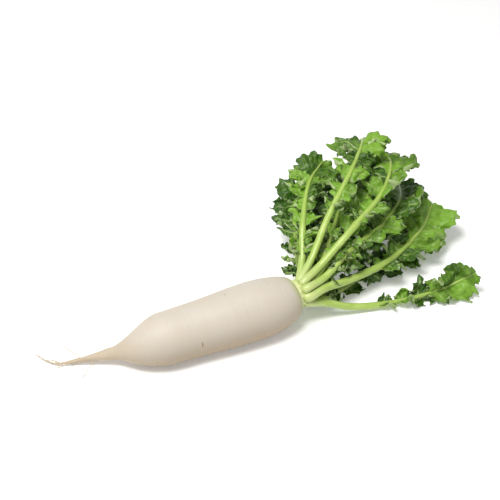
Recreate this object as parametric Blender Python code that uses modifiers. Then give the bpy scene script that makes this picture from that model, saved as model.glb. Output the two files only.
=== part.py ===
"""A daikon radish with its tops on, lying on a flat surface.

The long white root runs along X, tail towards -X and leaves towards +X. Z is up, and the origin is
the middle of the small flat that the root rests on. The radish is built as it grew: the root with
its tail and side rootlets, the short green crown, and a rosette of leaves. Each leaf is one piece:
a stalk that runs on as the rib, with leaflets cut to the rib that widen towards a broad end lobe.
"""

import math
import random

import bmesh
import bpy
from mathutils import Matrix, Vector

MM = 0.001

# Root: the driving sizes, in millimetres. Distances along the root are taken from its crown end.
ROOT_RADIUS = 31.0
SHOULDER_LENGTH = 48.0
SHOULDER_ROUNDNESS = 1.9
CROWN_SEAT_RADIUS = 14.5
BODY_TAPER = 3.4
BODY_END = 145.0
TAIL_START = 202.0
TAIL_RADIUS = 7.0
TAIL_BLUNTNESS = 0.75
TAIL_HOLLOW = 1.6
ROOT_LENGTH = 265.0
THREAD_LENGTH = 30.0
THREAD_RADIUS = 0.45
ROOT_STATIONS = 36
ROOT_ROUNDING = 7
STATION_CROWDING = 0.22

# The line that the middle of the root follows, as X, Y and Z, from the crown end to the thread's tip.
# Along the body its height is a little less than the root's radius there, which leaves the flat.
ROOT_LINE = [
    (93.5, 3, 34),
    (75, 2.5, 31.6),
    (55, 2, 30.2),
    (20, 2, 29.3),
    (-20, 3, 27.5),
    (-50, 4, 26.6),
    (-76, 8, 21.6),
    (-97, 16.5, 15.0),
    (-117, 25.5, 9.2),
    (-140, 33.5, 5.0),
    (-157, 39.5, 3.0),
    (-166, 50, 1.8),
    (-172, 64, 1.4),
]

# Rootlets: distance from the crown end, angle round the root from straight up, length and bend.
ROOTLETS = [
    (205, 60, 15, 8),
    (222, 250, 17, -7),
    (236, 95, 20, 9),
    (249, 280, 15, 6),
    (258, 120, 18, -8),
]
ROOTLET_RADIUS = 0.42
ROOTLET_FULLNESS = 1.25
ROOTLET_TAPER = 0.5
ROOTLET_STATIONS = 6
ROOTLET_TRAIL = 0.9
ROOTLET_LEVELLING = 1.5
ROOTLET_HEIGHT = 1.4

# Crown: a low dome on the root's crown end. Its axis is the root's, read a little way in from there,
# and its flank leans in to this angle before the flat top.
CROWN_RADIUS = 14.6
CROWN_HEIGHT = 13.0
CROWN_CENTRE = Vector(ROOT_LINE[0])
CROWN_AXIS_READ = 2.0
CROWN_LEAN = math.radians(78)
CROWN_FULLNESS = 0.55
CROWN_STATIONS = 8
CROWN_ROUNDING = 4
GAP = 0.3

# Stalks: two rings of them stand on the crown, sunk into it, and each leans out through a collar.
RING_RADIUS = 13.2
INNER_RING_RADIUS = 5.0
RING_LIFT = 8.0
INNER_RING_LIFT = 12.0
STALK_START_DEPTH = 3.0
STALK_START_SHARE = 0.72
COLLAR_SHARE = 1.06
COLLAR_LIFT = 3.0
STALK_TAPER = 0.14
RIB_TAPER = 0.74
RIB_SLIMNESS = 0.8
RIB_END = 0.965
STALK_STATIONS = 10
STALK_CROWDING = 1.4

# Leaflets: each side of a blade has this many, and the rest of the blade is its end lobe. Lengths are
# shares of half the blade's width, and angles are in degrees. Curls are the rise over the square of
# the distance out from the rib, and twists the rise from a leaflet's one edge to the other's.
LOBES = 4
LOBE_SPREAD = 0.92
LOBE_GAP = 0.12
FIRST_LOBE = 0.36
LOBE_GROWTH = 0.8
LOBE_LENGTHS = 0.88, 1.08
LOBE_SLANTS = 18, 26
LOBE_LIFTS = -30, 30
LOBE_CURLS = -0.016, 0.008
LOBE_TWISTS = -0.45, 0.45
LOBE_FULLNESS = 0.46
LOBE_TOOTH = 0.07
LOBE_EDGE = 0.22
SINUS_START = 0.4
SINUS_DEPTH = 0.42
END_SHARE = 0.36
END_WIDTH = 0.9
END_SINUS = 0.46
END_LIFTS = -12, 14
END_CURLS = -0.014, 0.004
END_SLANT = 0.5
END_WIDEST = 0.36
END_SHOULDER = 0.7
END_TAPER = 2.2
END_ROUNDNESS = 0.6
END_TOOTH = 0.05

# Blades: thickness and margin, in millimetres, and the height that they settle to near the surface.
BLADE_THICKNESS = 0.8
BLADE_MARGIN = 0.35
BLADE_NARROWING = 0.3
BLADE_FLOOR = 1.1
BLADE_SETTLE = 2.2
TWIST_START = 12.0
RIB_SMOOTHING = 6.0
BLADE_ROWS = 2
LOBE_COLUMNS = 5
END_COLUMNS = 7

# Vertices closer than this are merged, on a tube's caps and along a blade's edge, in metres. Tubes
# thinner than a finger get the fewest sides.
CAP_MERGE = 0.000001
BLADE_MERGE = 0.00002
SLIM_ROUNDING = 1

# One entry a leaf: the angle of its base round the crown (0 is up, 90 is +Y), the ring it stands on,
# the stalk's radius at the base, where the blade starts along it (0 to 1), half the blade's width,
# the blade's roll in degrees at its start and tip, how far its two sides fold up in degrees, the
# seed of its leaflets' draw, and its route.
LEAVES = {
    "leaf_01": dict(
        angle=-124, ring=RING_RADIUS, stalk=4.3, blade=0.42, half=27,
        roll=(16, 66), fold=28, seed=13,
        route=[
            (124, -9.8, 21.4), (150, -14, 10), (184, -21, 6.0), (220, -26, 6.5), (258, -31, 12),
            (290, -36, 25),
        ],
    ),
    "leaf_02": dict(
        angle=-81, ring=RING_RADIUS, stalk=4.6, blade=0.42, half=40,
        roll=(-12, 24), fold=6, seed=5,
        route=[(125, -5.2, 38.5), (158, 3.5, 31), (214, 16, 30), (268, 44, 34), (308, 86, 30)],
    ),
    "leaf_03": dict(
        angle=-40, ring=RING_RADIUS, stalk=4.1, blade=0.36, half=38,
        roll=(16, -18), fold=4, seed=2,
        route=[(128, 2, 46.9), (163, 17, 58), (214, 38, 62), (258, 76, 58), (284, 122, 42)],
    ),
    "leaf_04": dict(
        angle=-2, ring=RING_RADIUS, stalk=4.1, blade=0.40, half=38,
        roll=(-22, 14), fold=2, seed=5,
        route=[(127, 10.6, 57.5), (166, 22, 80), (218, 50, 94), (256, 98, 94), (266, 148, 76)],
    ),
    "leaf_05": dict(
        angle=36, ring=RING_RADIUS, stalk=4.1, blade=0.40, half=38,
        roll=(24, -12), fold=4, seed=24,
        route=[(123, 23.7, 58.3), (152, 46, 86), (196, 80, 110), (234, 124, 110), (250, 160, 86)],
    ),
    "leaf_06": dict(
        angle=75, ring=RING_RADIUS, stalk=4.2, blade=0.36, half=35,
        roll=(-12, 18), fold=8, seed=10,
        route=[(117, 35, 50), (134, 68, 72), (162, 110, 86), (200, 150, 80)],
    ),
    "leaf_07": dict(
        angle=196, ring=RING_RADIUS, stalk=4.1, blade=0.28, half=36,
        roll=(4, -6), fold=14, seed=20,
        route=[(124, 8.5, 12.2), (160, 20, 6), (210, 36, 6), (260, 50, 8), (300, 66, 15)],
    ),
    "leaf_08": dict(
        angle=156, ring=RING_RADIUS, stalk=4.2, blade=0.28, half=36,
        roll=(-4, 8), fold=14, seed=22,
        route=[(120, 26.5, 13.3), (144, 56, 6), (182, 98, 6), (226, 138, 12)],
    ),
    "leaf_09": dict(
        angle=72, ring=INNER_RING_RADIUS, stalk=3.3, blade=0.34, half=36,
        roll=(14, -14), fold=6, seed=25,
        route=[(125, 15, 44), (152, 41, 57), (184, 80, 63), (212, 120, 60), (228, 158, 50)],
    ),
    "leaf_10": dict(
        angle=-108, ring=INNER_RING_RADIUS, stalk=3.2, blade=0.36, half=33,
        roll=(-10, 10), fold=6, seed=28,
        route=[(126, 3, 38), (158, 17, 43), (198, 38, 42), (240, 64, 37)],
    ),
    "leaf_11": dict(
        angle=162, ring=INNER_RING_RADIUS, stalk=3.3, blade=0.32, half=35,
        roll=(10, -12), fold=8, seed=118,
        route=[(122, 20, 29), (144, 56, 30), (176, 104, 31), (212, 146, 26)],
    ),
    "leaf_12": dict(
        angle=342, ring=INNER_RING_RADIUS, stalk=3.3, blade=0.32, half=35,
        roll=(10, -12), fold=8, seed=5,
        route=[(128, 10.8, 49.4), (164, 28.2, 66.7), (206, 62, 78), (240, 106, 78), (262, 146, 60)],
    ),
    "leaf_13": dict(
        angle=117, ring=RING_RADIUS, stalk=4.1, blade=0.30, half=34,
        roll=(-10, 10), fold=8, seed=18,
        route=[(116, 36.9, 29.4), (130, 76, 43), (150, 118, 52), (180, 156, 46)],
    ),
}

# Colours and roughness of the four finishes.
ROOT_WHITE = (0.80, 0.75, 0.66, 1), 0.42
CROWN_GREEN = (0.50, 0.60, 0.22, 1), 0.5
STALK_GREEN = (0.52, 0.66, 0.24, 1), 0.4
BLADE_GREEN = (0.11, 0.30, 0.04, 1), 0.5
SMOOTH_ANGLE = math.radians(35)

# The block that cuts the flat: its length, width and depth below the surface, in metres.
FLAT_CUTTER = 0.8, 0.4, 0.05


def clear_scene():
    for obj in list(bpy.data.objects):
        bpy.data.objects.remove(obj)


def make_material(name, finish):
    colour, roughness = finish
    material = bpy.data.materials.new(name)
    material.use_nodes = True
    shader = material.node_tree.nodes["Principled BSDF"]
    shader.inputs["Base Color"].default_value = colour
    shader.inputs["Roughness"].default_value = roughness
    return material


def smoothstep(value):
    value = min(1.0, max(0.0, value))
    return value * value * (3 - 2 * value)


class Line:
    """A smooth curve through some points, read by the distance along it in millimetres."""

    def __init__(self, points, steps=16):
        knots = [Vector(p) for p in points]
        knots = [2 * knots[0] - knots[1], *knots, 2 * knots[-1] - knots[-2]]
        self.points = [knots[1]]
        for a, b, c, d in zip(knots, knots[1:], knots[2:], knots[3:]):
            for step in range(1, steps + 1):
                t = step / steps
                self.points.append(
                    0.5 * (2 * b + (c - a) * t + (2 * a - 5 * b + 4 * c - d) * t**2
                           + (3 * b - a - 3 * c + d) * t**3)
                )
        self.marks = [0.0]
        for p, q in zip(self.points, self.points[1:]):
            self.marks.append(self.marks[-1] + (q - p).length)
        self.length = self.marks[-1]

    def at(self, distance):
        """The point there. Past either end the curve goes on straight."""
        last = len(self.points) - 2
        i = 0
        while i < last and self.marks[i + 1] < distance:
            i += 1
        share = (distance - self.marks[i]) / (self.marks[i + 1] - self.marks[i])
        return self.points[i].lerp(self.points[i + 1], share)

    def direction(self, distance, reach=2.0):
        return (self.at(distance + reach) - self.at(distance - reach)).normalized()


def tube(name, stations, rounding, collection):
    """A closed tube mesh along (point, radius) stations, in metres."""
    curve = bpy.data.curves.new(name, "CURVE")
    curve.dimensions = "3D"
    curve.twist_mode = "Z_UP"
    curve.bevel_depth = 1.0
    curve.bevel_resolution = rounding
    curve.use_fill_caps = True
    spline = curve.splines.new("POLY")
    spline.points.add(len(stations) - 1)
    for knot, (point, radius) in zip(spline.points, stations):
        knot.co = (*(point * MM), 1)
        knot.radius = radius * MM
    holder = bpy.data.objects.new(name, curve)
    collection.objects.link(holder)
    bpy.context.view_layer.update()
    evaluated = holder.evaluated_get(bpy.context.evaluated_depsgraph_get())
    mesh = bpy.data.meshes.new_from_object(evaluated)
    bpy.data.objects.remove(holder)
    shape = bmesh.new()
    shape.from_mesh(mesh)
    bmesh.ops.remove_doubles(shape, verts=shape.verts, dist=CAP_MERGE)
    bmesh.ops.recalc_face_normals(shape, faces=shape.faces)
    shape.to_mesh(mesh)
    shape.free()
    obj = bpy.data.objects.new(name, mesh)
    collection.objects.link(obj)
    return obj


def boolean(obj, operation, other):
    """Applies one Boolean with the EXACT solver and removes the other object."""
    modifier = obj.modifiers.new("join", "BOOLEAN")
    modifier.operation = operation
    modifier.solver = "EXACT"
    modifier.object = other
    bpy.context.view_layer.update()
    evaluated = obj.evaluated_get(bpy.context.evaluated_depsgraph_get())
    mesh = bpy.data.meshes.new_from_object(evaluated)
    obj.modifiers.clear()
    obj.data = mesh
    bpy.data.objects.remove(other)


def root_radius(distance):
    """Half the root's thickness: a round shoulder, a nearly even body, a blunt taper and a thin tail."""
    if distance < SHOULDER_LENGTH:
        inward = 1 - distance / SHOULDER_LENGTH
        swell = (1 - inward**SHOULDER_ROUNDNESS) ** 0.5
        return CROWN_SEAT_RADIUS + (ROOT_RADIUS - CROWN_SEAT_RADIUS) * swell
    if distance < BODY_END:
        share = (distance - SHOULDER_LENGTH) / (BODY_END - SHOULDER_LENGTH)
        return ROOT_RADIUS - BODY_TAPER * smoothstep(share)
    if distance < TAIL_START:
        share = (distance - BODY_END) / (TAIL_START - BODY_END)
        fullness = (1 - smoothstep(share)) ** TAIL_BLUNTNESS
        return TAIL_RADIUS + (ROOT_RADIUS - BODY_TAPER - TAIL_RADIUS) * fullness
    if distance < ROOT_LENGTH:
        share = (distance - TAIL_START) / (ROOT_LENGTH - TAIL_START)
        return THREAD_RADIUS * 2 + (TAIL_RADIUS - THREAD_RADIUS * 2) * (1 - share) ** TAIL_HOLLOW
    share = (distance - ROOT_LENGTH) / THREAD_LENGTH
    return THREAD_RADIUS * (2 - min(1.0, share))


def make_root(collection):
    line = Line(ROOT_LINE)
    full = line.length
    stations = []
    for i in range(ROOT_STATIONS + 1):
        share = i / ROOT_STATIONS
        distance = full * (share + STATION_CROWDING * (share**2 - share))
        stations.append((line.at(distance), root_radius(distance)))
    root = tube("root", stations, ROOT_ROUNDING, collection)
    for number, (distance, angle, length, bend) in enumerate(ROOTLETS):
        boolean(root, "UNION", make_rootlet(line, number, distance, angle, length, bend, collection))
    slab = box_below_floor(collection)
    boolean(root, "DIFFERENCE", slab)
    return root


def make_rootlet(line, number, distance, angle, length, bend, collection):
    """A fine side root that leaves the tail backwards and levels out above the surface."""
    along = line.direction(distance)
    side = along.cross(Vector((0, 0, 1))).normalized()
    outward = Matrix.Rotation(math.radians(angle), 3, along) @ side.cross(along)
    start = line.at(distance)
    stations = []
    for i in range(ROOTLET_STATIONS + 1):
        share = i / ROOTLET_STATIONS
        point = start + outward * length * share
        point += along * length * ROOTLET_TRAIL * share**ROOTLET_LEVELLING
        point += side * bend * share**2
        point.z = max(point.z, ROOTLET_HEIGHT)
        stations.append((point, ROOTLET_RADIUS * (ROOTLET_FULLNESS - ROOTLET_TAPER * share)))
    return tube(f"rootlet_{number}", stations, SLIM_ROUNDING, collection)


def box_below_floor(collection):
    mesh = bpy.data.meshes.new("slab")
    shape = bmesh.new()
    bmesh.ops.create_cube(shape, size=1.0)
    bmesh.ops.scale(shape, vec=FLAT_CUTTER, verts=shape.verts)
    bmesh.ops.translate(shape, vec=(0, 0, -FLAT_CUTTER[2] / 2), verts=shape.verts)
    shape.to_mesh(mesh)
    shape.free()
    slab = bpy.data.objects.new("slab", mesh)
    collection.objects.link(slab)
    return slab


def make_crown(name, collection, grow=0.0):
    """A dome on the crown end, its axis along the root's. Grown, it cuts the stalks back clear of it."""
    inward = Line(ROOT_LINE).direction(CROWN_AXIS_READ)
    stations = []
    first = GAP - grow * 2
    for i in range(CROWN_STATIONS + 1):
        lean = i / CROWN_STATIONS * CROWN_LEAN
        height = first + (CROWN_HEIGHT + grow - first) * math.sin(lean) / math.sin(CROWN_LEAN)
        radius = (CROWN_RADIUS + grow) * math.cos(lean) ** CROWN_FULLNESS
        stations.append((CROWN_CENTRE - inward * height, radius))
    return tube(name, stations, CROWN_ROUNDING, collection)


def leaf_line(spec):
    """The line of the stalk and rib: from inside the crown, out through its flank, then the route."""
    outward = -Line(ROOT_LINE).direction(CROWN_AXIS_READ)
    angle = math.radians(spec["angle"])
    spoke = Vector((0, math.sin(angle), math.cos(angle)))
    lift = INNER_RING_LIFT if spec["ring"] < RING_RADIUS else RING_LIFT
    start = CROWN_CENTRE + spoke * (spec["ring"] * STALK_START_SHARE) + outward * (lift - STALK_START_DEPTH)
    collar = CROWN_CENTRE + spoke * spec["ring"] * COLLAR_SHARE + outward * (lift + COLLAR_LIFT)
    return Line([start, collar, *spec["route"]])


def stalk_radius(spec, share):
    """Half the stalk's thickness at a share of the leaf's length."""
    if share < spec["blade"]:
        return spec["stalk"] * (1 - STALK_TAPER * smoothstep(share / spec["blade"]))
    beyond = (share - spec["blade"]) / (1 - spec["blade"])
    return spec["stalk"] * (1 - STALK_TAPER) * (1 - RIB_TAPER * beyond**RIB_SLIMNESS)


def make_stalk(name, spec, collection):
    line = leaf_line(spec)
    stations = []
    for i in range(STALK_STATIONS + 1):
        share = RIB_END * (i / STALK_STATIONS) ** STALK_CROWDING
        stations.append((line.at(share * line.length), stalk_radius(spec, share)))
    return tube(name, stations, SLIM_ROUNDING, collection)


def lobe_plan(name, spec):
    """The drawn shape of each leaflet and of the end lobe: where it stands, how long and how tilted."""
    draw = random.Random(f"{name} {spec['seed']}")
    fold = spec["fold"]
    slant = {side: math.radians(draw.uniform(*LOBE_SLANTS)) for side in (-1, 1)}
    reach = (1 - spec["blade"]) * (1 - END_SHARE)
    lobes = []
    for i in range(LOBES):
        weight = (i + 0.5) / LOBES
        first = spec["blade"] + reach * (i / LOBES) ** LOBE_SPREAD
        last = spec["blade"] + reach * ((i + 1) / LOBES) ** LOBE_SPREAD
        bare = (last - first) * LOBE_GAP * (1 - weight)
        length = spec["half"] * (FIRST_LOBE + (1 - FIRST_LOBE) * weight**LOBE_GROWTH)
        sides = {side: dict(
            out=length * draw.uniform(*LOBE_LENGTHS),
            lift=math.radians(fold + draw.uniform(*LOBE_LIFTS)),
            curl=draw.uniform(*LOBE_CURLS),
            twist=draw.uniform(*LOBE_TWISTS),
            slant=slant[side],
        ) for side in (-1, 1)}
        sinus = 0.0 if weight < SINUS_START else SINUS_DEPTH * weight
        lobes.append(dict(first=first + bare, last=last - bare, sinus=sinus, sides=sides))
    sides = {side: dict(
        out=spec["half"] * END_WIDTH,
        lift=math.radians(fold + draw.uniform(*END_LIFTS)),
        curl=draw.uniform(*END_CURLS),
        twist=0.0,
        slant=slant[side] * END_SLANT,
    ) for side in (-1, 1)}
    lobes.append(dict(first=spec["blade"] + reach, last=1.0, sinus=END_SINUS, sides=sides))
    return lobes


def lobe_reach(lobes, i, share, tooth):
    """How far lobe i stands out from the rib at a share of its width, as a part of its full length."""
    notch = lobes[i]["sinus"]
    if i < LOBES:
        if share > 0.5:
            notch = lobes[i + 1]["sinus"]
        swell = math.sin(math.pi * share) ** LOBE_FULLNESS if 0 < share < 1 else 0.0
        return (notch + (1 - notch) * swell) * (1 + LOBE_TOOTH * tooth)
    if share < END_WIDEST:
        swell = math.sin(math.pi / 2 * share / END_WIDEST) ** END_SHOULDER
        return (notch + (1 - notch) * swell) * (1 + END_TOOTH * tooth)
    beyond = (share - END_WIDEST) / (1 - END_WIDEST)
    return (1 - beyond**END_TAPER) ** END_ROUNDNESS * (1 + END_TOOTH * tooth)


def blade_columns():
    """(lobe index, share across the lobe, tooth) for each column of the blade, from its start to its tip."""
    columns = []
    for i in range(LOBES + 1):
        count = END_COLUMNS if i == LOBES else LOBE_COLUMNS
        for k in range(count + 1):
            tooth = 0 if k in (0, count) else (1 if k % 2 else -1)
            columns.append((i, k / count, tooth))
    return columns


def mixed(lobes, i, side, share, key):
    """A lobe's value, eased towards its neighbour's near their common edge, so that the blade is whole."""
    here = lobes[i]["sides"][side][key]
    if share > 1 - LOBE_EDGE and i < LOBES:
        other = lobes[i + 1]["sides"][side][key]
        return here + (other - here) * 0.5 * smoothstep((share - 1 + LOBE_EDGE) / LOBE_EDGE)
    if share < LOBE_EDGE and i > 0:
        other = lobes[i - 1]["sides"][side][key]
        return here + (other - here) * 0.5 * smoothstep((LOBE_EDGE - share) / LOBE_EDGE)
    return here


def blade_frame(spec, line, distance):
    """Middle, up and left of the blade at a distance along the rib."""
    along = line.direction(distance, RIB_SMOOTHING)
    up = (Vector((0, 0, 1)) - along * along.z).normalized()
    share = (distance / line.length - spec["blade"]) / (1 - spec["blade"])
    first, last = spec["roll"]
    up = Matrix.Rotation(math.radians(first + (last - first) * share), 3, along) @ up
    return line.at(distance), up, up.cross(along)


def blade_point(spec, line, lobes, column, side, reach):
    """A point of the blade's middle surface: reach runs from the rib, at 0, to the leaf's edge, at 1."""
    i, share, tooth = column
    lobe = lobes[i]
    width = line.length * (lobe["last"] - lobe["first"])
    rib = line.length * lobe["first"] + width * share
    full, slant, lift, curl, twist = (
        mixed(lobes, i, side, share, key) for key in ("out", "slant", "lift", "curl", "twist")
    )
    margin = 0.0 if i == LOBES and share == 1 else BLADE_MARGIN
    out = max(full * lobe_reach(lobes, i, share, tooth), margin) * reach
    centre, up, left = blade_frame(spec, line, rib + out * math.sin(slant))
    flat = out * math.cos(slant) ** BLADE_NARROWING
    rise = curl * out**2 + twist * (share - 0.5) * width * min(1.0, out / TWIST_START)
    point = centre + left * side * flat * math.cos(lift) + up * (flat * math.sin(lift) + rise)
    point.z = BLADE_FLOOR + BLADE_SETTLE * math.log1p(math.exp((point.z - BLADE_FLOOR) / BLADE_SETTLE))
    return point


def make_blade(name, spec, collection):
    """The leaflets as one thin sheet, cut nearly to the rib, from a grid whose middle row is the rib."""
    line = leaf_line(spec)
    lobes = lobe_plan(name, spec)
    columns = blade_columns()
    shape = bmesh.new()
    bmesh.ops.create_grid(shape, x_segments=len(columns) - 1, y_segments=2 * BLADE_ROWS, size=1.0)
    for vert in shape.verts:
        column = columns[round((vert.co.x + 1) / 2 * (len(columns) - 1))]
        row = round(vert.co.y * BLADE_ROWS)
        vert.co = blade_point(spec, line, lobes, column, -1 if row < 0 else 1, abs(row) / BLADE_ROWS) * MM
    bmesh.ops.remove_doubles(shape, verts=shape.verts, dist=BLADE_MERGE)
    bmesh.ops.triangulate(shape, faces=shape.faces)
    bmesh.ops.recalc_face_normals(shape, faces=shape.faces)
    mesh = bpy.data.meshes.new(f"{name}_blade")
    shape.to_mesh(mesh)
    shape.free()
    blade = bpy.data.objects.new(f"{name}_blade", mesh)
    collection.objects.link(blade)
    solidify = blade.modifiers.new("thickness", "SOLIDIFY")
    solidify.thickness = BLADE_THICKNESS * MM
    solidify.offset = 0.0
    return blade


def make_leaf(name, spec, materials, parts, helpers):
    leaf = make_stalk(name, spec, parts)
    blade = make_blade(name, spec, helpers)
    leaf.data.materials.append(materials[0])
    blade.data.materials.append(materials[1])
    leaf.data.materials.append(materials[1])
    for face in blade.data.polygons:
        face.material_index = 0
    boolean(leaf, "UNION", blade)
    boolean(leaf, "DIFFERENCE", make_crown(f"{name}_cutter", helpers, grow=GAP))
    return leaf


def shade(obj):
    obj.data.shade_smooth()
    obj.data.set_sharp_from_angle(angle=SMOOTH_ANGLE)


def main():
    clear_scene()
    parts = bpy.data.collections.new("daikon_radish")
    helpers = bpy.data.collections.new("cutters")
    for collection in (parts, helpers):
        bpy.context.scene.collection.children.link(collection)
    root = make_root(parts)
    root.data.materials.append(make_material("root_skin", ROOT_WHITE))
    crown = make_crown("crown", parts)
    crown.data.materials.append(make_material("crown_green", CROWN_GREEN))
    greens = make_material("stalk_green", STALK_GREEN), make_material("blade_green", BLADE_GREEN)
    shade(root)
    shade(crown)
    for name, spec in LEAVES.items():
        shade(make_leaf(name, spec, greens, parts, helpers))


main()
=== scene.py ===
"""The looks of a daikon radish with its tops on: its skin, crown, rootlets and leaves."""

import bisect
import math
import random

import bmesh
import bpy
from mathutils import Matrix, Vector, noise


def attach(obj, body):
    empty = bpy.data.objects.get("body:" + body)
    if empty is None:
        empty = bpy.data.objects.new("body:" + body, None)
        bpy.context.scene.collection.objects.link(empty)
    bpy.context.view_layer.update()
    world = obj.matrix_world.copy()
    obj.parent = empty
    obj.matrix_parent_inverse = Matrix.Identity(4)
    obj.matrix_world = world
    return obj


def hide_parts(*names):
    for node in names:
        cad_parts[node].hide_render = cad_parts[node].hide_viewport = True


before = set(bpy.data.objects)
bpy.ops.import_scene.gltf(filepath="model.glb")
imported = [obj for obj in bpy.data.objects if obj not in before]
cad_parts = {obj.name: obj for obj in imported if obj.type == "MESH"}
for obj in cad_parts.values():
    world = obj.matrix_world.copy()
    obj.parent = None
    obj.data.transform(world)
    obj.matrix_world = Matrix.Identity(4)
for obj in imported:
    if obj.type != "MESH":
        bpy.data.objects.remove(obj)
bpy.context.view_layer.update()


# --------------------------------------------------
# Root. One grown piece: crisp white flesh under a skin as thin as paper, washed after it was pulled.
# It has a round shoulder, a nearly even body and a tail, with faint rings where it swelled and a few
# small tan scars where side roots broke off. It lies on a slightly flattened stretch.

MM = 0.001
# Sizes are in millimetres, and distances along the root are taken from its crown end.
ROOT_RADIUS = 31.0
SHOULDER_LENGTH = 48.0
SHOULDER_ROUNDNESS = 1.9
CROWN_SEAT_RADIUS = 14.5
BODY_TAPER = 3.4
BODY_END = 145.0
TAIL_START = 202.0
TAIL_RADIUS = 7.0
TAIL_BLUNTNESS = 0.75
TAIL_HOLLOW = 1.6
ROOT_LENGTH = 265.0
THREAD_LENGTH = 30.0
THREAD_RADIUS = 0.45
# The line that the middle of the root follows, as X, Y and Z, from the crown end to the thread's tip.
ROOT_LINE = [
    (93.5, 3, 34),
    (75, 2.5, 31.6),
    (55, 2, 30.2),
    (20, 2, 29.3),
    (-20, 3, 27.5),
    (-50, 4, 26.6),
    (-76, 8, 21.6),
    (-97, 16.5, 15.0),
    (-117, 25.5, 9.2),
    (-140, 33.5, 5.0),
    (-157, 39.5, 3.0),
    (-166, 50, 1.8),
    (-172, 64, 1.4),
]
# The skin's grid, the share of its rows on the seat under the crown, and the share where it ends.
ROOT_ROWS = 420
ROOT_SIDES = 160
SEAT_SHARE = 0.03
TIP_SHARE = 0.9999
SURFACE_GAP = 0.01
MERGE = 0.000005
# How high each kind of swelling stands on the body and how much more on the tail, how long and broad
# it is, the radius from which it has its full height, and where in the noise it is read.
SWELLINGS = dict(
    lumps=dict(height=0.5, tail_height=0.0, long=34, broad=24, full_radius=14, shift=0),
    rings=dict(height=0.03, tail_height=0.07, long=1.9, broad=26, full_radius=14, shift=9),
    pinches=dict(height=0.05, tail_height=0.30, long=5.2, broad=40, full_radius=8, shift=4),
)
# The clearest scars: distance from the crown end, angle from straight up, width, depth and tan share.
SCARS = [
    (117, -84, 3.4, 0.30, 0.85),
    (78, 8, 1.8, 0.10, 0.5),
    (32, -2, 2.0, 0.10, 0.4),
    (52, 118, 3.0, 0.28, 0.8),
    (96, 74, 2.2, 0.18, 0.6),
    (141, 102, 3.2, 0.26, 0.8),
    (163, -128, 2.6, 0.22, 0.7),
]
# How many faint scars are drawn, and between which values.
FAINT_SCARS = 16
SCAR_SEED = 7
FAINT_SCAR = dict(distance=(20, 200), angle=(55, 150), width=(0.8, 2.2), depth=(0.04, 0.14), tan=(0.1, 0.3))
# How far a scar reaches along the root, half its length, how faint it grows before it ends, and the
# least radius of the root that shows its depth.
SCAR_REACH = 8
SCAR_LENGTH = 0.9
SCAR_FADE = 12
SCAR_ROOT_RADIUS = 3
# How closely each pattern of the skin repeats along the root and across it, for every millimetre.
PATCHES = 0.022, 0.03, 0.03
STREAKS = 0.55, 0.035, 0.035
SPECKS = 0.24, 0.075, 0.075
GRAIN = 1.4, 0.5, 0.5
SKIN_WHITE = 0.515, 0.475, 0.415, 1
SKIN_CREAM = 0.505, 0.445, 0.365, 1
# The next colour is painted shade: the root darkens and warms towards its underside.
PAINTED_UNDERSIDE_SHADE = 0.30, 0.228, 0.142, 1
STREAK_TAN = 0.46, 0.36, 0.23, 1
SPECK_TAN = 0.40, 0.27, 0.14, 1
SCAR_BROWN = 0.24, 0.165, 0.085, 1
TAIL_CREAM = 0.50, 0.41, 0.28, 1
SHOULDER_GREEN = 0.38, 0.44, 0.16, 1


def smoothstep(value):
    value = min(1.0, max(0.0, value))
    return value * value * (3 - 2 * value)


class Line:
    """A smooth curve through some points, read by the distance along it in millimetres."""

    def __init__(self, points, steps=16):
        knots = [Vector(p) for p in points]
        knots = [2 * knots[0] - knots[1], *knots, 2 * knots[-1] - knots[-2]]
        self.points = [knots[1]]
        for a, b, c, d in zip(knots, knots[1:], knots[2:], knots[3:]):
            for step in range(1, steps + 1):
                t = step / steps
                self.points.append(
                    0.5 * (2 * b + (c - a) * t + (2 * a - 5 * b + 4 * c - d) * t**2
                           + (3 * b - a - 3 * c + d) * t**3)
                )
        self.marks = [0.0]
        for p, q in zip(self.points, self.points[1:]):
            self.marks.append(self.marks[-1] + (q - p).length)
        self.length = self.marks[-1]

    def at(self, distance):
        """The point there. Past either end the curve goes on straight."""
        i = min(max(bisect.bisect_left(self.marks, distance) - 1, 0), len(self.points) - 2)
        share = (distance - self.marks[i]) / (self.marks[i + 1] - self.marks[i])
        return self.points[i].lerp(self.points[i + 1], share)

    def direction(self, distance, reach=2.0):
        return (self.at(distance + reach) - self.at(distance - reach)).normalized()


def root_radius(distance):
    """Half the root's thickness: a round shoulder, a nearly even body, a blunt taper and a thin tail."""
    if distance < SHOULDER_LENGTH:
        inward = 1 - distance / SHOULDER_LENGTH
        fullness = (1 - inward**SHOULDER_ROUNDNESS) ** 0.5
        return CROWN_SEAT_RADIUS + (ROOT_RADIUS - CROWN_SEAT_RADIUS) * fullness
    if distance < BODY_END:
        share = (distance - SHOULDER_LENGTH) / (BODY_END - SHOULDER_LENGTH)
        return ROOT_RADIUS - BODY_TAPER * smoothstep(share)
    if distance < TAIL_START:
        share = (distance - BODY_END) / (TAIL_START - BODY_END)
        fullness = (1 - smoothstep(share)) ** TAIL_BLUNTNESS
        return TAIL_RADIUS + (ROOT_RADIUS - BODY_TAPER - TAIL_RADIUS) * fullness
    if distance < ROOT_LENGTH:
        share = (distance - TAIL_START) / (ROOT_LENGTH - TAIL_START)
        return THREAD_RADIUS * 2 + (TAIL_RADIUS - THREAD_RADIUS * 2) * (1 - share) ** TAIL_HOLLOW
    share = (distance - ROOT_LENGTH) / THREAD_LENGTH
    return THREAD_RADIUS * (2 - min(1.0, share))


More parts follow.
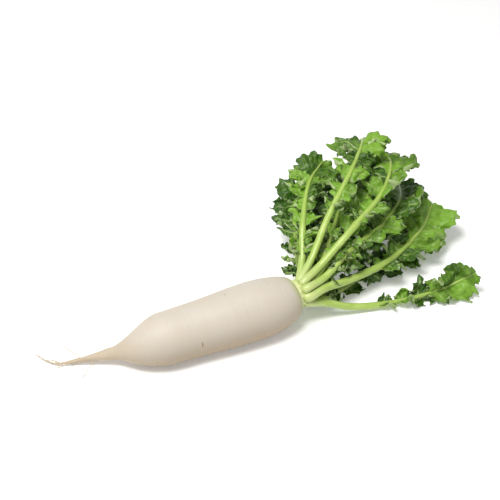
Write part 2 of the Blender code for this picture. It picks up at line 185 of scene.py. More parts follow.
def shaped_grid(shape, along, across, place, layers):
    """Adds a grid to the shape, with its points placed by a rule of two shares from 0 to 1.

    The rule gives a point in millimetres and one value for each layer. Returns the grid's vertices."""
    made = bmesh.ops.create_grid(shape, x_segments=along, y_segments=across, size=1.0)["verts"]
    for vert in made:
        point, values = place((vert.co.x + 1) / 2, (vert.co.y + 1) / 2)
        vert.co = point * MM
        for layer, value in zip(layers, values):
            vert[layer] = value
    return made


def finished_piece(name, shape, materials, node):
    """Turns a shape into a smooth-shaded piece of the part that stands for a node."""
    mesh = bpy.data.meshes.new(name)
    shape.to_mesh(mesh)
    shape.free()
    for material in materials:
        mesh.materials.append(material)
    mesh.shade_smooth()
    piece = bpy.data.objects.new(name, mesh)
    bpy.context.scene.collection.objects.link(piece)
    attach(piece, "root")
    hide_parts(node)


root_line = Line(ROOT_LINE)
scar_draw = random.Random(SCAR_SEED)
scars = [dict(distance=d, angle=math.radians(a), width=w, depth=t, tan=k) for d, a, w, t, k in SCARS]
for _ in range(FAINT_SCARS):
    side = scar_draw.choice((-1, 1))
    scar = {key: scar_draw.uniform(*limits) for key, limits in FAINT_SCAR.items()}
    scar["angle"] = side * math.radians(scar["angle"])
    scars.append(scar)


def scar_mark(distance, angle, radius):
    """How deep the scars are there, and how much of a scar the place is, from 0 to 1."""
    depth, mark = 0.0, 0.0
    for scar in scars:
        away = distance - scar["distance"]
        if abs(away) > SCAR_REACH:
            continue
        turn = (angle - scar["angle"] + math.pi) % (2 * math.pi) - math.pi
        spread = (away / SCAR_LENGTH) ** 2 + (turn * radius / scar["width"]) ** 2
        if spread < SCAR_FADE:
            share = math.exp(-spread)
            depth += scar["depth"] * share
            mark = max(mark, share * scar["tan"])
    return depth, mark


def root_point(share_along, share_round):
    """A point of the skin: the seat under the crown first, then down the body to the thread's tip."""
    angle = (share_round * 2 - 1) * math.pi
    inward = min(1.0, share_along / SEAT_SHARE)
    distance = root_line.length * max(0.0, (share_along - SEAT_SHARE) / (1 - SEAT_SHARE))
    radius = 0.0 if share_along > TIP_SHARE else root_radius(distance) * inward
    along = root_line.direction(distance)
    side = along.cross(Vector((0, 0, 1))).normalized()
    spoke = side.cross(along) * math.cos(angle) + side * math.sin(angle)
    across = spoke * radius
    tail_share = smoothstep((distance - BODY_END) / (TAIL_START - BODY_END))
    relief = 0.0
    for kind in SWELLINGS.values():
        long, broad = kind["long"], kind["broad"]
        spot = Vector((distance / long, across.y / broad, across.z / broad + kind["shift"]))
        height = kind["height"] + kind["tail_height"] * tail_share
        relief += noise.noise(spot) * height * min(1.0, radius / kind["full_radius"])
    depth, mark = scar_mark(distance, angle, radius)
    if radius > SCAR_ROOT_RADIUS:
        relief -= depth
    point = root_line.at(distance) + spoke * max(0.0, radius + relief * inward)
    point.z = max(point.z, SURFACE_GAP)
    return point, (distance, mark, Vector((distance, across.y, across.z)))


def new_material(name):
    """A material with its node tree, and its Principled shader."""
    material = bpy.data.materials.new(name)
    material.use_nodes = True
    return material, material.node_tree, material.node_tree.nodes["Principled BSDF"]


def put(tree, kind, inputs=(), **settings):
    """Adds a node, sets it up and wires or sets its inputs. Returns the node."""
    node = tree.nodes.new(kind)
    for key, value in settings.items():
        setattr(node, key, value)
    for key, value in dict(inputs).items():
        if isinstance(value, bpy.types.NodeSocket):
            tree.links.new(value, node.inputs[key])
        else:
            node.inputs[key].default_value = value
    return node


def attribute(tree, name, output="Fac"):
    return put(tree, "ShaderNodeAttribute", attribute_name=name).outputs[output]


def ramp(tree, value, low, high, start=0.0, end=1.0):
    """Start to end, smoothly, as the value goes from low to high."""
    return put(tree, "ShaderNodeMapRange", {0: value, 1: low, 2: high, 3: start, 4: end},
               interpolation_type="SMOOTHSTEP").outputs[0]


def math_node(tree, operation, a, b=0.0):
    return put(tree, "ShaderNodeMath", {0: a, 1: b}, operation=operation).outputs[0]


def product(tree, a, b):
    return math_node(tree, "MULTIPLY", a, b)


def total(tree, a, b):
    return math_node(tree, "ADD", a, b)


def mix_colour(tree, share, a, b):
    return put(tree, "ShaderNodeMix", {0: share, 6: a, 7: b}, data_type="RGBA").outputs[2]


def noise_value(tree, place, scale, detail=2.0, roughness=0.5):
    return put(tree, "ShaderNodeTexNoise",
               {"Vector": place, "Scale": scale, "Detail": detail, "Roughness": roughness}).outputs["Fac"]


def scaled(tree, vector, sizes):
    return put(tree, "ShaderNodeVectorMath", {0: vector, 1: sizes}, operation="MULTIPLY").outputs[0]


def fine_relief(tree, shader, height, strength, depth):
    """Gives a finish relief too fine for its mesh. Returns the direction that the surface then faces."""
    bump = put(tree, "ShaderNodeBump", {"Height": height, "Strength": strength, "Distance": depth})
    tree.links.new(bump.outputs[0], shader.inputs["Normal"])
    return bump.outputs[0]


def coloured(tree, shader, colour, roughness):
    tree.links.new(colour, shader.inputs["Base Color"])
    tree.links.new(roughness, shader.inputs["Roughness"])


def juicy_flesh(shader, weight, spread, depth):
    """Lets light a little way into a finish, as into wet flesh, further in some colours than others."""
    shader.inputs["Subsurface Weight"].default_value = weight
    shader.inputs["Subsurface Radius"].default_value = spread
    shader.inputs["Subsurface Scale"].default_value = depth


skin, tree, shader = new_material("root_skin")
along = attribute(tree, "along")
place = attribute(tree, "skin_place", "Vector")
patches = noise_value(tree, scaled(tree, place, PATCHES), 1.0, 3.0)
streaks = noise_value(tree, scaled(tree, place, STREAKS), 1.0, 3.0, 0.65)
specks = put(tree, "ShaderNodeTexVoronoi", {"Vector": scaled(tree, place, SPECKS), "Scale": 1.0})
speck = ramp(tree, specks.outputs["Distance"], 0.10, 0.03)
speck = product(tree, speck, ramp(tree, noise_value(tree, place, 0.05), 0.52, 0.66))
height = put(tree, "ShaderNodeSeparateXYZ", {0: place}).outputs[2]
colour = mix_colour(tree, ramp(tree, patches, 0.35, 0.72, 0.0, 0.6), SKIN_WHITE, SKIN_CREAM)
# Painted shade: the skin turns darker and warmer towards the root's underside, by height below its middle.
colour = mix_colour(tree, ramp(tree, height, 22.0, -18.0, 0.0, 0.85), colour, PAINTED_UNDERSIDE_SHADE)
colour = mix_colour(tree, ramp(tree, streaks, 0.46, 0.72, 0.0, 0.20), colour, STREAK_TAN)
colour = mix_colour(tree, product(tree, speck, 0.6), colour, SPECK_TAN)
colour = mix_colour(tree, ramp(tree, attribute(tree, "scar"), 0.06, 0.7, 0.0, 0.9), colour, SCAR_BROWN)
colour = mix_colour(tree, ramp(tree, along, 140.0, 215.0, 0.0, 0.45), colour, TAIL_CREAM)
shoulder_edge = total(tree, along, product(tree, patches, 9.0))
colour = mix_colour(tree, ramp(tree, shoulder_edge, 15.0, 3.0, 0.0, 0.85), colour, SHOULDER_GREEN)
grain = noise_value(tree, scaled(tree, place, GRAIN), 1.0, 4.0, 0.6)
coloured(tree, shader, colour, ramp(tree, grain, 0.3, 0.7, 0.46, 0.62))
relief = total(tree, product(tree, streaks, 0.6), product(tree, grain, 0.4))
fine_relief(tree, shader, relief, 0.35, 0.0004)
juicy_flesh(shader, 0.22, (1.0, 0.62, 0.36), 0.006)
shader.inputs["Specular IOR Level"].default_value = 0.36

shape = bmesh.new()
skin_layers = (
    shape.verts.layers.float.new("along"),
    shape.verts.layers.float.new("scar"),
    shape.verts.layers.float_vector.new("skin_place"),
)
shaped_grid(shape, ROOT_ROWS, ROOT_SIDES, root_point, skin_layers)
bmesh.ops.remove_doubles(shape, verts=shape.verts, dist=MERGE)
bmesh.ops.recalc_face_normals(shape, faces=shape.faces)
finished_piece("root_skin", shape, [skin], "root")


# --------------------------------------------------
# Rootlets. Fine side roots that still hold on the tail: a few longer ones and many thin as hairs.
# They are pale where they leave the tail and tan at their tips, and lie down on the surface.

# Each longer rootlet: distance from the crown end, angle round the root from straight up, length, bend.
ROOTLETS = [
    (205, 60, 15, 8),
    (222, 250, 17, -7),
    (236, 95, 20, 9),
    (249, 280, 15, 6),
    (258, 120, 18, -8),
]
ROOTLET_RADIUS = 0.42
ROOTLET_FULLNESS = 1.25
ROOTLET_TAPER = 0.75
ROOTLET_TRAIL = 0.9
ROOTLET_LEVELLING = 1.5
ROOTLET_HEIGHT = 0.9
ROOTLET_WANDER = 0.6
ROOTLET_STATIONS = 10
ROOTLET_ROWS = 24
ROOTLET_SIDES = 8
# The draw of the hairs: where they leave the tail, and between which sizes.
HAIR_COUNT = 70
HAIR_SEED = 11
HAIR_START = 196
HAIR_STRETCH = 66
HAIR_CROWDING = 0.8
HAIR_LENGTHS = 4, 15
HAIR_ANGLES = 0, 360
HAIR_BENDS = -8, 8
HAIR_WANDERS = 0.3, 1.4
HAIR_RADII = 0.07, 0.16
HAIR_FULLNESS = 1.3
HAIR_STATIONS = 6
HAIR_ROWS = 10
HAIR_SIDES = 4
# How many radians of waves run along a rootlet, and where in a wave it may start.
WAVES = 7
PHASES = 0, 6.28
TUBE_MERGE = 0.0000005
# A direction that no tube runs along, from which its sides are set out.
NEARLY_UP = Vector((0.0, 0.05, 1.0))
ROOTLET_CREAM = 0.56, 0.46, 0.31, 1
ROOTLET_TAN = 0.42, 0.29, 0.15, 1


def rootlet_line(distance, angle, length, bend, stations, wander, draw):
    """The line of a side root that leaves the tail backwards, wanders a little and levels out."""
    along = root_line.direction(distance)
    side = along.cross(Vector((0, 0, 1))).normalized()
    outward = Matrix.Rotation(math.radians(angle), 3, along) @ side.cross(along)
    start = root_line.at(distance)
    phase = draw.uniform(*PHASES)
    points = []
    for i in range(stations + 1):
        share = i / stations
        point = start + outward * length * share + along * length * ROOTLET_TRAIL * share**ROOTLET_LEVELLING
        point += side * (bend * share**2 + wander * math.sin(share * WAVES + phase) * share)
        point.z = max(point.z, ROOTLET_HEIGHT)
        points.append(point)
    return Line(points, steps=3)


def add_tube(shape, line, radius_at, rows, sides, layers, values_at):
    """Adds a closed tube round a line. Its radius and layer values follow the share of its length."""

    def place(share_along, share_round):
        distance = share_along * line.length
        along = line.direction(distance, reach=1.0)
        side = along.cross(NEARLY_UP).normalized()
        angle = share_round * 2 * math.pi
        radius = 0.0 if share_along in (0.0, 1.0) else radius_at(share_along, angle)
        spoke = side * math.cos(angle) + side.cross(along) * math.sin(angle)
        return line.at(distance) + spoke * radius, values_at(share_along, angle)

    made = shaped_grid(shape, rows, sides, place, layers)
    bmesh.ops.remove_doubles(shape, verts=made, dist=TUBE_MERGE)


hair_finish, tree, shader = new_material("rootlet")
share = attribute(tree, "share")
colour = mix_colour(tree, ramp(tree, share, 0.1, 0.9), ROOTLET_CREAM, ROOTLET_TAN)
fuzz = noise_value(tree, put(tree, "ShaderNodeTexCoord").outputs["Object"], 900.0)
coloured(tree, shader, colour, ramp(tree, fuzz, 0.3, 0.7, 0.45, 0.65))

shape = bmesh.new()
hair_layers = (shape.verts.layers.float.new("share"),)
hair_draw = random.Random(HAIR_SEED)
for distance, angle, length, bend in ROOTLETS:
    line = rootlet_line(distance, angle, length, bend, ROOTLET_STATIONS, ROOTLET_WANDER, hair_draw)
    add_tube(shape, line, lambda s, _: ROOTLET_RADIUS * (ROOTLET_FULLNESS - ROOTLET_TAPER * s),
             ROOTLET_ROWS, ROOTLET_SIDES, hair_layers, lambda s, _: (s,))
for _ in range(HAIR_COUNT):
    distance = HAIR_START + HAIR_STRETCH * hair_draw.random() ** HAIR_CROWDING
    length = hair_draw.uniform(*HAIR_LENGTHS)
    angle, bend = hair_draw.uniform(*HAIR_ANGLES), hair_draw.uniform(*HAIR_BENDS)
    wander = hair_draw.uniform(*HAIR_WANDERS)
    line = rootlet_line(distance, angle, length, bend, HAIR_STATIONS, wander, hair_draw)
    thick = hair_draw.uniform(*HAIR_RADII)
    add_tube(shape, line, lambda s, _: thick * (HAIR_FULLNESS - s),
             HAIR_ROWS, HAIR_SIDES, hair_layers, lambda s, _: (s,))
bmesh.ops.recalc_face_normals(shape, faces=shape.faces)
finished_piece("rootlets", shape, [hair_finish], "root")


# --------------------------------------------------
# Crown. The short stem at the root's top, a low dome grown over the root's end. It is pale green at
# its foot and yellow-green above, ridged where the stalks of shed leaves stood.

CROWN_RADIUS = 14.6
CROWN_HEIGHT = 13.0
CROWN_CENTRE = Vector(ROOT_LINE[0])
GAP = 0.3
CROWN_LEAN = math.radians(78)
CROWN_AXIS_READ = 2.0
CROWN_FULLNESS = 0.55
CROWN_TOP_RISE = 0.6
# The shares of the way from the foot's middle to the top's at which the flank and the top start.
FLANK_START = 0.08
TOP_START = 0.8
CROWN_ROWS = 60
CROWN_SIDES = 120
# The ridges and lumps of its flank, and the radius from which they have their full height.
CROWN_RIDGES = 17
RIDGE_HEIGHT = 0.35
RIDGE_TWIST = 5
RIDGE_SPAN = 1.4
RIDGE_START = 0.1
LUMP_HEIGHT = 0.3
LUMP_SIZE = 3
LUMPS_ROUND = 3
CROWN_RELIEF_RADIUS = 6
CROWN_PATTERN_RADIUS = 14
CROWN_PATTERN = 0.12, 0.5, 0.5
CROWN_FOOT_GREEN = 0.58, 0.60, 0.30, 1
CROWN_GREEN = 0.40, 0.52, 0.13, 1
CROWN_MOTTLE = 0.66, 0.66, 0.36, 1

crown_axis = -root_line.direction(CROWN_AXIS_READ)
crown_side = crown_axis.cross(Vector((0, 0, 1))).normalized()
crown_up = crown_side.cross(crown_axis)


def crown_point(share_up, share_round):
    """A point of the dome: its foot first, then the flank and the rounded top."""
    angle = share_round * 2 * math.pi
    if share_up < FLANK_START:
        height, radius = GAP, CROWN_RADIUS * share_up / FLANK_START
    elif share_up < TOP_START:
        lean = (share_up - FLANK_START) / (TOP_START - FLANK_START) * CROWN_LEAN
        height = GAP + (CROWN_HEIGHT - GAP) * math.sin(lean) / math.sin(CROWN_LEAN)
        radius = CROWN_RADIUS * math.cos(lean) ** CROWN_FULLNESS
    else:
        turn = (share_up - TOP_START) / (1 - TOP_START) * math.pi / 2
        height = CROWN_HEIGHT + CROWN_TOP_RISE * math.sin(turn)
        radius = CROWN_RADIUS * math.cos(CROWN_LEAN) ** CROWN_FULLNESS * math.cos(turn)
    rise = max(0.0, (height - GAP) / CROWN_HEIGHT)
    ridge = RIDGE_HEIGHT * math.sin(CROWN_RIDGES * angle + RIDGE_TWIST * rise)
    ridge *= math.sin(math.pi * min(1.0, rise * RIDGE_SPAN + RIDGE_START))
    spot = Vector((math.cos(angle) * LUMPS_ROUND, math.sin(angle) * LUMPS_ROUND, height / LUMP_SIZE))
    if height > GAP:
        relief = ridge + LUMP_HEIGHT * noise.noise(spot)
        radius = max(0.0, radius + relief * min(1.0, radius / CROWN_RELIEF_RADIUS))
    spoke = crown_up * math.cos(angle) + crown_side * math.sin(angle)
    around = spoke * CROWN_PATTERN_RADIUS
    return CROWN_CENTRE + crown_axis * height + spoke * radius, (rise, Vector((height, around.y, around.z)))


crown_finish, tree, shader = new_material("crown_stem")
rise = attribute(tree, "rise")
place = attribute(tree, "crown_place", "Vector")
mottle = noise_value(tree, scaled(tree, place, CROWN_PATTERN), 1.0, 3.0, 0.6)
colour = mix_colour(tree, ramp(tree, rise, 0.0, 0.5), CROWN_FOOT_GREEN, CROWN_GREEN)
colour = mix_colour(tree, ramp(tree, mottle, 0.42, 0.7, 0.0, 0.6), colour, CROWN_MOTTLE)
coloured(tree, shader, colour, ramp(tree, mottle, 0.3, 0.7, 0.38, 0.55))
fine_relief(tree, shader, mottle, 0.5, 0.0006)
juicy_flesh(shader, 0.15, (0.7, 1.0, 0.3), 0.003)

shape = bmesh.new()
crown_layers = (shape.verts.layers.float.new("rise"), shape.verts.layers.float_vector.new("crown_place"))
shaped_grid(shape, CROWN_ROWS, CROWN_SIDES, crown_point, crown_layers)
bmesh.ops.remove_doubles(shape, verts=shape.verts, dist=MERGE)
bmesh.ops.recalc_face_normals(shape, faces=shape.faces)
finished_piece("crown_stem", shape, [crown_finish], "crown")


# --------------------------------------------------
# Leaves. A rosette round the crown, each leaf grown as one piece: a juicy stalk, grooved above, that
# runs on as the rib, and soft crinkled leaflets cut nearly to the rib that widen to a broad end lobe.
# The blades are thin, toothed and ruffled at the margin, darker above and pale and matt below.

# Two rings of stalks stand on the crown, sunk into it, and each stalk leans out through a collar.
RING_RADIUS = 13.2
INNER_RING_RADIUS = 5.0
RING_LIFT = 8.0
INNER_RING_LIFT = 12.0
STALK_START_DEPTH = 3.0
STALK_START_SHARE = 0.72
COLLAR_SHARE = 1.06
COLLAR_LIFT = 3.0
# Each leaf: its angle round the crown from straight up and its ring, the stalk's radius, the share of
# the length where the blade starts, half the blade's width, its roll about the rib at either end, its
# fold, the draws of its leaflets and of their curls and tones, how many small leaflets it has, how
# loose it is, since leaves under the others are pressed flatter and painted darker as painted shade,
# and its route.
LEAVES = {
    "leaf_01": dict(
        angle=-124, ring=RING_RADIUS, stalk=4.3, blade=0.42, half=27,
        roll=(16, 66), fold=28, seed=13, finish=1, small=0, loose=1.0,
        route=[(124, -9.8, 21.4), (150, -14, 10), (184, -21, 6), (220, -26, 6.5), (258, -31, 12),
               (290, -36, 25)],
    ),
    "leaf_02": dict(
        angle=-81, ring=RING_RADIUS, stalk=4.6, blade=0.42, half=40,
        roll=(-12, 24), fold=6, seed=5, finish=10, small=0, loose=1.0,
        route=[(125, -5.2, 38.5), (158, 3.5, 31), (214, 16, 30), (268, 44, 34), (308, 86, 30)],
    ),
    "leaf_03": dict(
        angle=-40, ring=RING_RADIUS, stalk=4.1, blade=0.36, half=38,
        roll=(16, -18), fold=4, seed=2, finish=3, small=3, loose=1.0,
        route=[(128, 2, 46.9), (163, 17, 58), (214, 38, 62), (258, 76, 58), (284, 122, 42)],
    ),
    "leaf_04": dict(
        angle=-2, ring=RING_RADIUS, stalk=4.1, blade=0.40, half=38,
        roll=(-22, 14), fold=2, seed=5, finish=6, small=1, loose=1.0,
        route=[(127, 10.6, 57.5), (166, 22, 80), (218, 50, 94), (256, 98, 94), (266, 148, 76)],
    ),
    "leaf_05": dict(
        angle=36, ring=RING_RADIUS, stalk=4.1, blade=0.40, half=38,
        roll=(24, -12), fold=4, seed=24, finish=6, small=1, loose=1.0,
        route=[(123, 23.7, 58.3), (152, 46, 86), (196, 80, 110), (234, 124, 110), (250, 160, 86)],
    ),
    "leaf_06": dict(
        angle=75, ring=RING_RADIUS, stalk=4.2, blade=0.36, half=35,
        roll=(-12, 18), fold=8, seed=10, finish=8, small=3, loose=1.0,
        route=[(117, 35, 50), (134, 68, 72), (162, 110, 86), (200, 150, 80)],
    ),
    "leaf_07": dict(
        angle=196, ring=RING_RADIUS, stalk=4.1, blade=0.28, half=36,
        roll=(4, -6), fold=14, seed=20, finish=1, small=2, loose=0.35,
        route=[(124, 8.5, 12.2), (160, 20, 6), (210, 36, 6), (260, 50, 8), (300, 66, 15)],
    ),
    "leaf_08": dict(
        angle=156, ring=RING_RADIUS, stalk=4.2, blade=0.28, half=36,
        roll=(-4, 8), fold=14, seed=22, finish=1, small=3, loose=0.35,
        route=[(120, 26.5, 13.3), (144, 56, 6), (182, 98, 6), (226, 138, 12)],
    ),
    "leaf_09": dict(
        angle=72, ring=INNER_RING_RADIUS, stalk=3.3, blade=0.34, half=36,
        roll=(14, -14), fold=6, seed=25, finish=6, small=4, loose=1.0,
        route=[(125, 15, 44), (152, 41, 57), (184, 80, 63), (212, 120, 60), (228, 158, 50)],
    ),
    "leaf_10": dict(
        angle=-108, ring=INNER_RING_RADIUS, stalk=3.2, blade=0.36, half=33,
        roll=(-10, 10), fold=6, seed=28, finish=1, small=4, loose=0.5,
        route=[(126, 3, 38), (158, 17, 43), (198, 38, 42), (240, 64, 37)],
    ),
    "leaf_11": dict(
        angle=162, ring=INNER_RING_RADIUS, stalk=3.3, blade=0.32, half=35,
        roll=(10, -12), fold=8, seed=118, finish=2, small=3, loose=0.35,
        route=[(122, 20, 29), (144, 56, 30), (176, 104, 31), (212, 146, 26)],
    ),
    "leaf_12": dict(
        angle=342, ring=INNER_RING_RADIUS, stalk=3.3, blade=0.32, half=35,
        roll=(10, -12), fold=8, seed=5, finish=6, small=3, loose=1.0,
        route=[(128, 10.8, 49.4), (164, 28.2, 66.7), (206, 62, 78), (240, 106, 78), (262, 146, 60)],
    ),
    "leaf_13": dict(
        angle=117, ring=RING_RADIUS, stalk=4.1, blade=0.30, half=34,
        roll=(-10, 10), fold=8, seed=18, finish=8, small=3, loose=0.5,
        route=[(116, 36.9, 29.4), (130, 76, 43), (150, 118, 52), (180, 156, 46)],
    ),
}


def leaf_line(spec):
    """The line of the stalk and rib: from inside the crown, out through its flank, then the route."""
    angle = math.radians(spec["angle"])
    spoke = Vector((0, math.sin(angle), math.cos(angle)))
    lift = INNER_RING_LIFT if spec["ring"] < RING_RADIUS else RING_LIFT
    sunk = lift - STALK_START_DEPTH
    start = CROWN_CENTRE + spoke * (spec["ring"] * STALK_START_SHARE) + crown_axis * sunk
    collar = CROWN_CENTRE + spoke * spec["ring"] * COLLAR_SHARE + crown_axis * (lift + COLLAR_LIFT)
    return Line([start, collar, *spec["route"]])


# Stalks: how they thin along the rib, their tube, their broad foot, the groove above and the strands.
STALK_TAPER = 0.14
RIB_TAPER = 0.74
RIB_SLIMNESS = 0.8
RIB_END = 0.985
STALK_STATIONS = 60
STALK_ROWS = 110
STALK_SIDES = 20
STALK_LEAST_RADIUS = 0.2
FOOT_SWELL = 0.20
FOOT_SHARE = 0.07
STALK_GROOVE = 0.12
STALK_GROOVE_ANGLE = 0.55
STRANDS = 9
STRAND_HEIGHT = 0.10
STRAND_RADIUS = 2.5
STALK_PATTERN_RADIUS = 6


def stalk_radius(spec, share):
    """Half the stalk's thickness at a share of the leaf's length."""
    if share < spec["blade"]:
        return spec["stalk"] * (1 - STALK_TAPER * smoothstep(share / spec["blade"]))
    beyond = (share - spec["blade"]) / (1 - spec["blade"])
    return spec["stalk"] * (1 - STALK_TAPER) * (1 - RIB_TAPER * beyond**RIB_SLIMNESS)


# Leaflets: each side of a blade has this many, and the rest of the blade is its end lobe. Lengths are
# shares of half the blade's width, and angles are in degrees. Curls are the rise over the square of
# the distance out from the rib, and twists the rise from a leaflet's one edge to the other's.
LOBES = 4
LOBE_SPREAD = 0.92
LOBE_GAP = 0.12
FIRST_LOBE = 0.36
LOBE_GROWTH = 0.8
LOBE_LENGTHS = 0.88, 1.08
LOBE_SLANTS = 18, 26
LOBE_LIFTS = -30, 30
LOBE_CURLS = -0.016, 0.008
LOBE_TWISTS = -0.45, 0.45
LOBE_FULLNESS = 0.46
LOBE_EDGE = 0.22
SINUS_START = 0.4
SINUS_DEPTH = 0.28
END_SHARE = 0.36
END_WIDTH = 0.9
END_SINUS = 0.46
END_LIFTS = -12, 14
END_CURLS = -0.014, 0.004
END_SLANT = 0.5
END_WIDEST = 0.36
END_SHOULDER = 0.7
END_TAPER = 2.2
END_ROUNDNESS = 0.6
# Small leaflets stand below the blade on most stalks: how wide they are, and the draw of the rest.
SMALL_WIDTH = 0.055
SMALL_FULLNESS = 0.72
SMALL_LENGTHS = 11.0, 20.0
SMALL_STEPS = -0.2, 0.1
SMALL_LIFTS = -25, 60
SMALL_CURLS = -0.03, 0.02
SMALL_TWISTS = -0.8, 0.8
SMALL_SLANTS = 15, 45


def lobe_plan(name, spec):
    """The drawn shape of each leaflet and of the end lobe: where it stands, how long and how tilted."""
    draw = random.Random(f"{name} {spec['seed']}")
    fold = spec["fold"]
    slant = {side: math.radians(draw.uniform(*LOBE_SLANTS)) for side in (-1, 1)}
    reach = (1 - spec["blade"]) * (1 - END_SHARE)
    lobes = []
    for i in range(LOBES):
        weight = (i + 0.5) / LOBES
        first = spec["blade"] + reach * (i / LOBES) ** LOBE_SPREAD
        last = spec["blade"] + reach * ((i + 1) / LOBES) ** LOBE_SPREAD
        bare = (last - first) * LOBE_GAP * (1 - weight)
        full = spec["half"] * (FIRST_LOBE + (1 - FIRST_LOBE) * weight**LOBE_GROWTH)
        sides = {side: dict(
            out=full * draw.uniform(*LOBE_LENGTHS),
            lift=math.radians(fold + draw.uniform(*LOBE_LIFTS)),
            curl=draw.uniform(*LOBE_CURLS),
            twist=draw.uniform(*LOBE_TWISTS),
            slant=slant[side],
        ) for side in (-1, 1)}
        sinus = 0.0 if weight < SINUS_START else SINUS_DEPTH * weight
        lobes.append(dict(first=first + bare, last=last - bare, sinus=sinus, sides=sides))
    sides = {side: dict(
        out=spec["half"] * END_WIDTH,
        lift=math.radians(fold + draw.uniform(*END_LIFTS)),
        curl=draw.uniform(*END_CURLS),
        twist=0.0,
        slant=slant[side] * END_SLANT,
    ) for side in (-1, 1)}
    lobes.append(dict(first=spec["blade"] + reach, last=1.0, sinus=END_SINUS, sides=sides))
    return small_leaflets(name, spec) + lobes


def small_leaflets(name, spec):
    """The drawn shape of the small leaflets below the blade, from the lowest up."""
    draw = random.Random(f"small {name}")
    lobes = []
    for number in range(spec["small"], 0, -1):
        first = spec["blade"] - (number + draw.uniform(*SMALL_STEPS)) * SMALL_WIDTH
        sides = {side: dict(
            out=spec["stalk"] + draw.uniform(*SMALL_LENGTHS),
            lift=math.radians(draw.uniform(*SMALL_LIFTS)),
            curl=draw.uniform(*SMALL_CURLS),
            twist=draw.uniform(*SMALL_TWISTS),
            slant=math.radians(draw.uniform(*SMALL_SLANTS)),
        ) for side in (-1, 1)}
        lobes.append(dict(first=first, last=first + SMALL_WIDTH * SMALL_FULLNESS, sinus=0.0, sides=sides))
    return lobes


def lobe_reach(lobes, i, share):
    """How far lobe i stands out from the rib at a share of its width, as a part of its full length."""
    notch = lobes[i]["sinus"]
    if i < len(lobes) - 1:
        if share > 0.5:
            notch = lobes[i + 1]["sinus"]
        swell = math.sin(math.pi * share) ** LOBE_FULLNESS if 0 < share < 1 else 0.0
        return notch + (1 - notch) * swell
    if share < END_WIDEST:
        return notch + (1 - notch) * math.sin(math.pi / 2 * share / END_WIDEST) ** END_SHOULDER
    return (1 - ((share - END_WIDEST) / (1 - END_WIDEST)) ** END_TAPER) ** END_ROUNDNESS


def mixed(lobes, i, side, share, key):
    """A lobe's value, eased towards its neighbour's near their common edge, so that the blade is whole."""
    here = lobes[i]["sides"][side][key]
    if share > 1 - LOBE_EDGE and i < len(lobes) - 1:
        other = lobes[i + 1]["sides"][side][key]
        return here + (other - here) * 0.5 * smoothstep((share - 1 + LOBE_EDGE) / LOBE_EDGE)
    if share < LOBE_EDGE and i > 0:
        other = lobes[i - 1]["sides"][side][key]
        return here + (other - here) * 0.5 * smoothstep((LOBE_EDGE - share) / LOBE_EDGE)
    return here


# The blade's sheet, in millimetres: its grid, its teeth, its curls and how it settles on the surface.
BLADE_ROWS = 17
ROW_CROWDING = 1.25
MARGIN_STEPS = 400
BLADE_THICKNESS = 0.42
BLADE_MARGIN = 0.35
BLADE_NARROWING = 0.3
BLADE_FLOOR = 1.1
BLADE_SETTLE = 2.2
BLADE_MERGE = 0.00002
RIB_SMOOTHING = 6.0
TWIST_START = 12.0
TOOTH_LENGTH = 7.5
TOOTH_DEPTH = 2.6
TOOTH_COLUMNS = 5
TOOTH_DEPTHS = 0.35, 1.15
TOOTH_POINTEDNESS = 1.5
TOOTH_REACH = 5
TOOTH_START = 8
TOOTH_LEAN = 0.8
TOOTH_MARGIN = 0.2
MOST_TEETH = 60
CURL_START = 0.35
BENDS = 0.6, 2.6
BEND_EASE = 6
END_BEND_EASE = 3
LEAST_TURN = 0.001


def blade_frame(spec, line, distance):
    """Middle, up and left of the blade at a distance along the rib."""
    along = line.direction(distance, RIB_SMOOTHING)
    up = (Vector((0, 0, 1)) - along * along.z).normalized()
    share = (distance / line.length - spec["blade"]) / (1 - spec["blade"])
    first, last = spec["roll"]
    up = Matrix.Rotation(math.radians(first + (last - first) * share), 3, along) @ up
    return line.at(distance), up, up.cross(along)


def blade_columns(line, lobes):
    """The columns of the blade's grid, a few to each tooth and evenly spaced along the margin."""
    columns = []
    for i, lobe in enumerate(lobes):
        width = line.length * (lobe["last"] - lobe["first"])
        out = (lobe["sides"][-1]["out"] + lobe["sides"][1]["out"]) / 2
        steps = [k / MARGIN_STEPS for k in range(MARGIN_STEPS + 1)]
        margin = [Vector((width * k / MARGIN_STEPS, out * lobe_reach(lobes, i, steps[k])))
                  for k in range(MARGIN_STEPS + 1)]
        runs = [0.0]
        for p, q in zip(margin, margin[1:]):
            runs.append(runs[-1] + (q - p).length)
        teeth = max(3, round(runs[-1] / TOOTH_LENGTH))
        count = teeth * TOOTH_COLUMNS
        shares = [steps[min(MARGIN_STEPS, bisect.bisect_left(runs, runs[-1] * k / count))]
                  for k in range(count + 1)]
        if i < len(lobes) - 1:
            middle = min(range(count + 1), key=lambda k: abs(shares[k] - 0.5))
            shares[middle] = 0.5
        for k, share in enumerate(shares):
            columns.append(dict(lobe=i, share=share, tooth=k / TOOTH_COLUMNS, run=runs[-1] * k / count,
                                width=width))
    return columns


def curled(flat, full, lift, curl, twisted, bend):
    """How far across and above the rib a point lands, once its leaflet is lifted, arched and curled."""
    inner = min(flat, full * CURL_START)
    turn = bend * ((flat - inner) / max(1.0, full * (1 - CURL_START)))
    steep = lift + math.atan(2 * curl * inner)
    chord = flat - inner
    if abs(turn) > LEAST_TURN:
        chord *= math.sin(turn / 2) / (turn / 2)
    across = inner * math.cos(lift) + chord * math.cos(steep + turn / 2)
    rise = curl * inner**2 + twisted
    return across, inner * math.sin(lift) + rise + chord * math.sin(steep + turn / 2)


